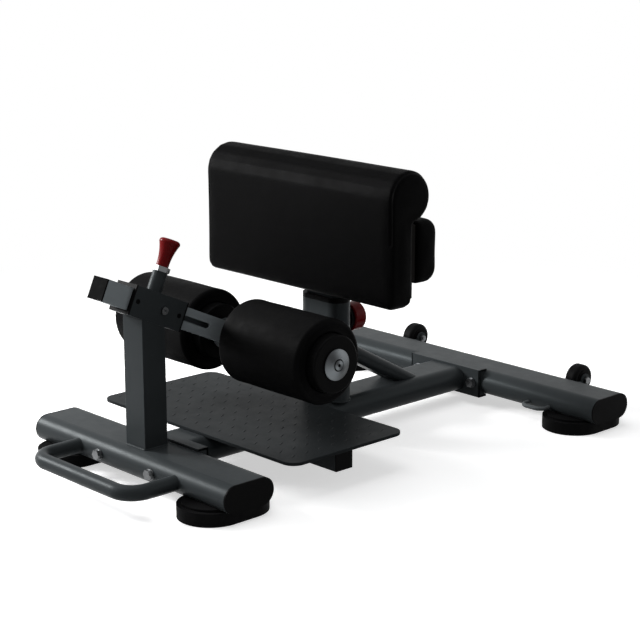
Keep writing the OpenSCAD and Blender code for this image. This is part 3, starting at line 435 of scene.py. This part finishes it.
def make_roller(side):
    node, core = "foam_" + side, "core_" + side
    lo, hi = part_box(node)
    radius = (hi.z - lo.z) / 2
    half = (hi.x - lo.x) / 2
    core_lo, core_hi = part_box(core)
    bore = (core_hi.z - core_lo.z) / 2 + PLAY
    edge, lip = FOAM_EDGE, FOAM_LIP
    face_in, face_out = bore + lip, radius - edge
    profile = []
    for sign in (-1, 1):
        part = [(half - lip + lip * math.sin(t), face_in - lip * math.cos(t)) for t in arc(5)]
        part += [(half - FOAM_HOLLOW * math.sin(math.pi * f), face_in + (face_out - face_in) * f)
                 for f in (0.2, 0.4, 0.6, 0.8)]
        part += [(half - edge + edge * math.cos(t), face_out + edge * math.sin(t))
                 for t in arc(10)]
        part += [((half - edge) * (1 - f), radius - FOAM_FALL * (1 - f) ** 2)
                 for f in (0.25, 0.5, 0.75)]
        part = [(sign * s, r) for s, r in part]
        profile += part if sign < 0 else [(0.0, radius)] + part[::-1]
    ring = lathe("foam_roller_" + side, profile, centre_of(lo, hi), (1, 0, 0), "foam_skin",
                 "roller_" + side, steps=128)
    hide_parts(node)


# Cushions: the CAD form, remeshed, puffed up by cloth pressure and capped

def apply_modifiers(obj):
    graph = bpy.context.evaluated_depsgraph_get()
    mesh = bpy.data.meshes.new_from_object(obj.evaluated_get(graph))
    obj.modifiers.clear()
    old = obj.data
    obj.data = mesh
    bpy.data.meshes.remove(old)


def smooth_field(mesh, field, rounds):
    """Averages a value per vertex with those of its neighbours."""
    near = [[] for v in mesh.vertices]
    for e in mesh.edges:
        i, j = e.vertices
        near[i].append(j)
        near[j].append(i)
    for step in range(rounds):
        field = [(f + sum(field[j] for j in near[i])) / (1 + len(near[i]))
                 for i, f in enumerate(field)]
    return field


# The cover lies this far inside the CAD form before it is puffed up
COVER_INSET = 0.3 * MM
VOXEL = 4 * MM
CLOTH = {"quality": 4, "mass": 0.4, "tension_stiffness": 18, "compression_stiffness": 18,
         "shear_stiffness": 8, "bending_stiffness": 2.0, "use_pressure": True}
CLOTH_FRAMES = 20
# Where the cloth sinks in instead, this part of it is kept
SINK = 0.3
SMOOTHING = 6


def puff_up(obj, pressure, cap):
    """Moves each vertex along its normal as far as cloth under pressure does, up to cap."""
    mesh = obj.data
    start = [v.co.copy() for v in mesh.vertices]
    normals = [v.normal.copy() for v in mesh.vertices]
    cloth = obj.modifiers.new("cloth", "CLOTH")
    for name, value in CLOTH.items():
        setattr(cloth.settings, name, value)
    cloth.settings.uniform_pressure_force = pressure
    cloth.settings.effector_weights.gravity = 0.0
    cloth.point_cache.frame_start = 1
    cloth.point_cache.frame_end = CLOTH_FRAMES
    for frame_number in range(1, CLOTH_FRAMES + 1):
        bpy.context.scene.frame_set(frame_number)
    puffed = obj.evaluated_get(bpy.context.evaluated_depsgraph_get())
    ends = [v.co.copy() for v in puffed.to_mesh().vertices]
    puffed.to_mesh_clear()
    obj.modifiers.clear()
    swell = []
    for a, b, n in zip(start, ends, normals):
        far = (b - a).dot(n)
        swell.append(cap * math.tanh(far / cap) * (1.0 if far > 0 else SINK))
    for v, n, far in zip(mesh.vertices, normals, smooth_field(mesh, swell, SMOOTHING)):
        v.co += n * far
    bpy.context.scene.frame_set(1)


def make_cushion(node, name, pressure, cap):
    mesh = NODES[node].data.copy()
    obj = add_object(name, mesh)
    mesh.materials.clear()
    bm = bmesh.new()
    bm.from_mesh(mesh)
    bmesh.ops.remove_doubles(bm, verts=bm.verts, dist=SAME_POINT)
    bm.normal_update()
    for v in bm.verts:
        v.co -= v.normal * COVER_INSET
    bm.to_mesh(mesh)
    bm.free()
    remesh = obj.modifiers.new("remesh", "REMESH")
    remesh.mode = "VOXEL"
    remesh.voxel_size = VOXEL
    apply_modifiers(obj)
    puff_up(obj, pressure, cap)
    fine = obj.modifiers.new("fine", "SUBSURF")
    fine.levels = fine.render_levels = 1
    apply_modifiers(obj)
    obj.data.polygons.foreach_set("use_smooth", [True] * len(obj.data.polygons))
    obj.data.materials.append(MATERIALS["pad_vinyl"])
    return obj


def seat_cushion(obj, node):
    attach(obj, "pad_carriage")
    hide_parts(node)


def press_seam(obj, distance, width, depth, towards):
    """Presses a groove into the mesh where distance(co) is near 0."""
    for v in obj.data.vertices:
        d = abs(distance(v.co))
        if d < width:
            pull = towards(v.co) - v.co
            if pull.length > 0:
                pressed = depth * (0.5 + 0.5 * math.cos(math.pi * d / width))
                v.co += pull.normalized() * pressed
    obj.data.update()


# The calf pad's seams: how far from its ends they run, their size, and the heights of the slab's
# top and of the core that they are pulled towards
SEAM_INSET = 7 * MM
SEAM_WIDTH = 4 * MM
SEAM_DEPTH = 1.6 * MM
SLAB_TOP = 0.42
CORE_LOW, CORE_HIGH = 0.31, 0.47


def make_pads():
    calf = make_cushion("calf_pad", "calf_cushion", 3.0, 2.4 * MM)
    lo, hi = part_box("calf_pad")
    seam = (hi.x - lo.x) / 2 - SEAM_INSET
    middle_y = (lo.y + hi.y) / 2

    def core(co):
        y = min(middle_y, co.y) if co.z < SLAB_TOP else middle_y
        return Vector((co.x, y, min(max(co.z, CORE_LOW), CORE_HIGH)))

    for sign in (-1, 1):
        press_seam(calf, lambda co: co.x - sign * seam, SEAM_WIDTH, SEAM_DEPTH, core)
    seat_cushion(calf, "calf_pad")
    rear = make_cushion("rear_pad", "rear_cushion", 4.0, 3 * MM)
    seat_cushion(rear, "rear_pad")


# Tread marks: low lens shaped ridges in slanted rows on the foot plate

TREAD_LENGTH = 19 * MM
TREAD_WIDTH = 3.4 * MM
TREAD_RISE = 0.6 * MM
TREAD_DIRECTION = (0.47, -0.88, 0.0)
# Distance between the rows' marks across and along the plate, and where the first ones lie
TREAD_PITCH_X, TREAD_PITCH_Y = 33.2 * MM, 31.3 * MM
TREAD_SHIFT_X, TREAD_START_Y = 8.632 * MM, 32.2 * MM
TREAD_COLUMNS, TREAD_ROWS = 17, 8
# Bare border of the plate at its sides and at its rear edge
TREAD_BORDER_X, TREAD_BORDER_Y = 16 * MM, 14 * MM
# Each ridge's rings, as parts of its rise and of its size, from its foot to its crest
TREAD_RINGS = ((-0.02, 1.0), (0.55, 0.72), (0.9, 0.4))


def make_tread():
    lo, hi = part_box("foot_plate")
    verts, faces = [], []
    along = Vector(TREAD_DIRECTION).normalized()
    across = Vector((-along.y, along.x, 0.0))
    around = 20
    first = -(TREAD_COLUMNS // 2)
    for i in range(first, first + TREAD_COLUMNS):
        for j in range(TREAD_ROWS):
            x = TREAD_PITCH_X * i + TREAD_SHIFT_X
            y = lo.y + TREAD_START_Y + TREAD_PITCH_Y * j
            if abs(x) > (hi.x - lo.x) / 2 - TREAD_BORDER_X or y > hi.y - TREAD_BORDER_Y:
                continue
            centre = Vector((x, y, hi.z))
            base = len(verts)
            for level, size in TREAD_RINGS:
                for k in range(around):
                    a = 2 * math.pi * k / around
                    u = math.cos(a) * TREAD_LENGTH / 2 * size
                    pinch = 1 - 0.35 * abs(math.cos(a))
                    w = math.sin(a) * TREAD_WIDTH / 2 * size * pinch
                    rise = Vector((0, 0, TREAD_RISE * level))
                    verts.append(centre + along * u + across * w + rise)
            verts.append(centre + Vector((0, 0, TREAD_RISE)))
            for ring in range(2):
                for k in range(around):
                    n = (k + 1) % around
                    a, b = base + ring * around, base + (ring + 1) * around
                    faces.append((a + k, a + n, b + n, b + k))
            last = base + 2 * around
            faces += [(last + k, last + (k + 1) % around, last + around) for k in range(around)]
    add_mesh("tread_marks", verts, faces, "plate_paint", "frame")


# Domes over the rollers' outer dished washers

DOME_BORE = 22.3 * MM
DOME_RISE = 3.6 * MM
DOME_LIP = 0.5 * MM
DOME_STEPS = 12


def make_domes():
    lo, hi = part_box("dished_washers")
    axle = centre_of(*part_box("core_left"))
    outer, inner, lip = (hi.z - lo.z) / 2, DOME_BORE / 2, DOME_LIP
    profile = [(-lip, inner), (-lip, outer - lip), (0.0, outer)]
    for i in range(DOME_STEPS + 1):
        f = i / DOME_STEPS
        rise = DOME_RISE * math.sin(math.pi / 2 * f) ** 1.25
        profile.append((PLAY + rise, outer - lip - (outer - lip - inner) * f))
    for side, x, out in (("left", lo.x, -1), ("right", hi.x, 1)):
        lathe("dish_dome_" + side, profile, (x, axle.y, axle.z), (out, 0, 0), "dish_steel", "arm")


# Weld beads: rippled seams where tubes meet

BEAD_RADIUS = 1.7 * MM
BEAD_STEP = 2.2 * MM


def bead(name, path):
    """A rippled bead along a closed path of (point, outward direction) pairs."""
    verts, faces = [], []
    around = 8
    n = len(path)
    for i, (point, out) in enumerate(path):
        ahead = path[(i + 1) % n][0] - path[i - 1][0]
        side = ahead.normalized().cross(out).normalized()
        size = BEAD_RADIUS * (1 + 0.12 * math.sin(2.1 * i) + 0.06 * math.sin(0.37 * i))
        for k in range(around):
            a = 2 * math.pi * k / around
            verts.append(point + out * math.cos(a) * size + side * math.sin(a) * size)
    for i in range(n):
        for k in range(around):
            m = (k + 1) % around
            a, b = i * around, ((i + 1) % n) * around
            faces.append((a + k, a + m, b + m, b + k))
    add_mesh(name, verts, faces, "frame_paint", "frame")


def ring_path(centre, half_x, half_y, corner):
    """Points round a level rectangle with round corners, with their outward directions."""
    path = []
    corner_steps = max(3, int(corner * math.pi / 2 / BEAD_STEP))
    quarter = ((1, 1, 0), (-1, 1, 90), (-1, -1, 180), (1, -1, 270))
    for k, (sx, sy, start) in enumerate(quarter):
        cx, cy = sx * (half_x - corner), sy * (half_y - corner)
        for i in range(corner_steps + 1):
            a = math.radians(start + 90 * i / corner_steps)
            out = Vector((math.cos(a), math.sin(a), 0.0))
            path.append((Vector(centre) + Vector((cx, cy, 0.0)) + out * corner, out))
        nx, ny, turn = quarter[(k + 1) % 4]
        b = Vector(centre) + Vector((nx * (half_x - corner), ny * (half_y - corner), 0.0))
        out = Vector((math.cos(math.radians(turn)), math.sin(math.radians(turn)), 0.0))
        a = path[-1][0]
        b = b + out * corner
        count = int((b - a).length / BEAD_STEP)
        for i in range(1, count):
            path.append((a + (b - a) * i / count, out))
    return path


# Thickness of the plates that close the channels, and their steps round the foot
END_PLATE = 3 * MM
END_STEPS = 16


def make_channel_ends():
    """Closes the ends of the two channels between their sheet and the round side of the foot."""
    for foot, node, towards in (("front_foot", "front_channel", 1),
                                ("rear_foot", "rear_channel", -1)):
        foot_lo, foot_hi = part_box(foot)
        lo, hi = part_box(node)
        radius = (foot_hi.z - foot_lo.z) / 2
        round_y = foot_hi.y - radius if towards > 0 else foot_lo.y + radius
        round_z = (foot_lo.z + foot_hi.z) / 2
        radius += PLAY
        plate_y, lip_y = (hi.y, lo.y) if towards > 0 else (lo.y, hi.y)
        reach = abs(lip_y - round_y)
        start = math.atan2(math.sqrt(radius ** 2 - reach ** 2), reach)
        outline = [(plate_y, lo.z), (lip_y, lo.z)]
        for i in range(END_STEPS + 1):
            a = start * (2 * i / END_STEPS - 1)
            outline.append((round_y + towards * radius * math.cos(a),
                            round_z + radius * math.sin(a)))
        outline += [(lip_y, hi.z), (plate_y, hi.z)]
        n = len(outline)
        for side, x in (("left", lo.x), ("right", hi.x - END_PLATE)):
            verts = [(x, y, z) for y, z in outline]
            verts += [(x + END_PLATE, y, z) for y, z in outline]
            faces = [tuple(range(n)), tuple(range(2 * n - 1, n - 1, -1))]
            faces += [(i, (i + 1) % n, (i + 1) % n + n, i + n) for i in range(n)]
            add_mesh("%s_end_%s" % (node, side), verts, faces, "frame_paint", "frame",
                     smooth=False)


# The front upright's foot: half its depth there, how far it stands before the middle of the
# front foot, and the corners of both uprights
UPRIGHT_HALF_Y = 25 * MM
UPRIGHT_OFFSET = 3 * MM
FRONT_CORNER, REAR_CORNER = 2.5 * MM, 24.8 * MM


def make_welds():
    foot_lo, foot_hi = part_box("front_foot")
    weld_z = foot_hi.z + PLAY
    lo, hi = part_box("front_upright")
    centre = ((lo.x + hi.x) / 2, (foot_lo.y + foot_hi.y) / 2 - UPRIGHT_OFFSET, weld_z)
    bead("front_upright_weld",
         ring_path(centre, (hi.x - lo.x) / 2, UPRIGHT_HALF_Y, FRONT_CORNER))
    lo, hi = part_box("rear_upright")
    centre = ((lo.x + hi.x) / 2, (lo.y + hi.y) / 2, weld_z)
    bead("rear_upright_weld",
         ring_path(centre, (hi.x - lo.x) / 2, (hi.y - lo.y) / 2, REAR_CORNER))


# Black collar between the rear locking knob and its barrel

COLLAR_PLAY = 0.6 * MM
COLLAR_RADIUS = 25 * MM
COLLAR_DEPTH = 7.5 * MM
COLLAR_EDGE = 1.5 * MM


def make_lock_collar():
    lo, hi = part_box("lock_knob")
    middle = ((lo.x + hi.x) / 2, lo.y, (lo.z + hi.z) / 2)
    barrel_lo, barrel_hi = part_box("lock_barrel")
    inner = (barrel_hi.x - barrel_lo.x) / 2 + COLLAR_PLAY
    outer, depth, edge = COLLAR_RADIUS, COLLAR_DEPTH, COLLAR_EDGE
    profile = [(0.0, inner), (0.0, outer)]
    profile += [(-depth + edge - edge * math.sin(t), outer - edge + edge * math.cos(t))
                for t in arc(5)]
    profile += [(-depth, inner)]
    lathe("lock_collar", profile, middle, (0, 1, 0), "black_cap", "lock", steps=72)


# Floor, lamps and background

FLOOR_RADIUS = 9.0
FLOOR_DROP = 0.5 * MM
# Grey that the floor shows to the object's own light, and the white that the camera sees near it
FLOOR_DARK, FLOOR_PALE = 0.3, 0.85
# The glow that lifts the pale floor to white outside the object's shadow
FLOOR_GLOW = 0.56
# Distances from the middle between which the floor fades into plain white
FADE_FROM, FADE_TO = 0.85, 1.7
# Strength and colour of the world's light on the object
WORLD_LIGHT = 0.22
WORLD_COLOR = (0.97, 0.98, 1.0, 1.0)


def add_node(tree, kind, **inputs):
    """A node with its inputs set by name, where a grey is given for a colour as one number."""
    node = tree.nodes.new(kind)
    for name, value in inputs.items():
        if name == "Color" and isinstance(value, float):
            value = (value, value, value, 1.0)
        node.inputs[name].default_value = value
    return node


def ray_switch(tree):
    """1 for the rays that show the plain background: camera, glossy and transmission rays."""
    seen = tree.nodes.new("ShaderNodeLightPath")
    total = seen.outputs["Is Camera Ray"]
    for ray in ("Is Glossy Ray", "Is Transmission Ray"):
        step = tree.nodes.new("ShaderNodeMath")
        step.operation = "MAXIMUM"
        tree.links.new(total, step.inputs[0])
        tree.links.new(seen.outputs[ray], step.inputs[1])
        total = step.outputs[0]
    return total


def mix_shaders(tree, factor, first, second):
    mix = tree.nodes.new("ShaderNodeMixShader")
    tree.links.new(factor, mix.inputs[0])
    tree.links.new(first, mix.inputs[1])
    tree.links.new(second, mix.inputs[2])
    return mix.outputs[0]


def floor_material():
    material = bpy.data.materials.new("floor")
    material.use_nodes = True
    tree = material.node_tree
    tree.nodes.clear()
    dark = add_node(tree, "ShaderNodeBsdfDiffuse", Color=FLOOR_DARK)
    pale = add_node(tree, "ShaderNodeBsdfDiffuse", Color=FLOOR_PALE)
    glow = add_node(tree, "ShaderNodeEmission", Strength=FLOOR_GLOW)
    white = add_node(tree, "ShaderNodeEmission", Strength=1.0)
    near = tree.nodes.new("ShaderNodeAddShader")
    tree.links.new(pale.outputs[0], near.inputs[0])
    tree.links.new(glow.outputs[0], near.inputs[1])
    where = tree.nodes.new("ShaderNodeTexCoord")
    far = tree.nodes.new("ShaderNodeVectorMath")
    far.operation = "LENGTH"
    tree.links.new(where.outputs["Object"], far.inputs[0])
    fade = add_node(tree, "ShaderNodeMapRange", **{"From Min": FADE_FROM, "From Max": FADE_TO})
    fade.interpolation_type = "SMOOTHSTEP"
    tree.links.new(far.outputs["Value"], fade.inputs["Value"])
    shown = mix_shaders(tree, fade.outputs["Result"], near.outputs[0], white.outputs[0])
    whole = mix_shaders(tree, ray_switch(tree), dark.outputs[0], shown)
    tree.links.new(whole, tree.nodes.new("ShaderNodeOutputMaterial").inputs[0])
    return material


def make_floor():
    around = 64
    verts = [(0.0, 0.0, -FLOOR_DROP)]
    for i in range(around):
        a = math.tau * i / around
        verts.append((FLOOR_RADIUS * math.cos(a), FLOOR_RADIUS * math.sin(a), -FLOOR_DROP))
    mesh = bpy.data.meshes.new("floor")
    mesh.from_pydata(verts, [], [(0, i + 1, (i + 1) % around + 1) for i in range(around)])
    mesh.materials.append(floor_material())
    add_object("floor", mesh)


def make_world():
    world = bpy.data.worlds.new("studio")
    bpy.context.scene.world = world
    world.use_nodes = True
    tree = world.node_tree
    tree.nodes.clear()
    white = add_node(tree, "ShaderNodeBackground", Strength=1.0, Color=1.0)
    dim = add_node(tree, "ShaderNodeBackground", Strength=WORLD_LIGHT, Color=WORLD_COLOR)
    whole = mix_shaders(tree, ray_switch(tree), dim.outputs[0], white.outputs[0])
    tree.links.new(whole, tree.nodes.new("ShaderNodeOutputWorld").inputs[0])


# Each lamp's name, place, the point it faces, side in metres and power in watts
LAMPS = (
    ("top_lamp", (-0.1, -0.5, 2.7), (0, 0, 0.1), 2.2, 28.0),
    ("left_lamp", (-1.95, -1.2, 1.17), (0, 0, 0.2), 0.75, 96.0),
    ("front_lamp", (-1.5, -2.5, 1.3), (0, 0, 0.2), 1.5, 15.0),
    ("back_lamp", (2.0, 2.2, 1.3), (0, 0, 0.2), 1.6, 9.0),
)


def make_lamps():
    for name, place, aim, size, power in LAMPS:
        data = bpy.data.lights.new(name, "AREA")
        data.shape = "SQUARE"
        data.size = size
        data.energy = power
        lamp = add_object(name, data)
        lamp.location = place
        facing = Vector(aim) - Vector(place)
        lamp.rotation_euler = facing.to_track_quat("-Z", "Y").to_euler()


bpy.context.scene.view_settings.view_transform = "Standard"
make_camera()
dress_cad_nodes()
soften_edges()
for end in ("left", "right"):
    make_roller(end)
make_pads()
make_tread()
make_lock_collar()
make_domes()
make_welds()
make_channel_ends()
make_floor()
make_world()
make_lamps()
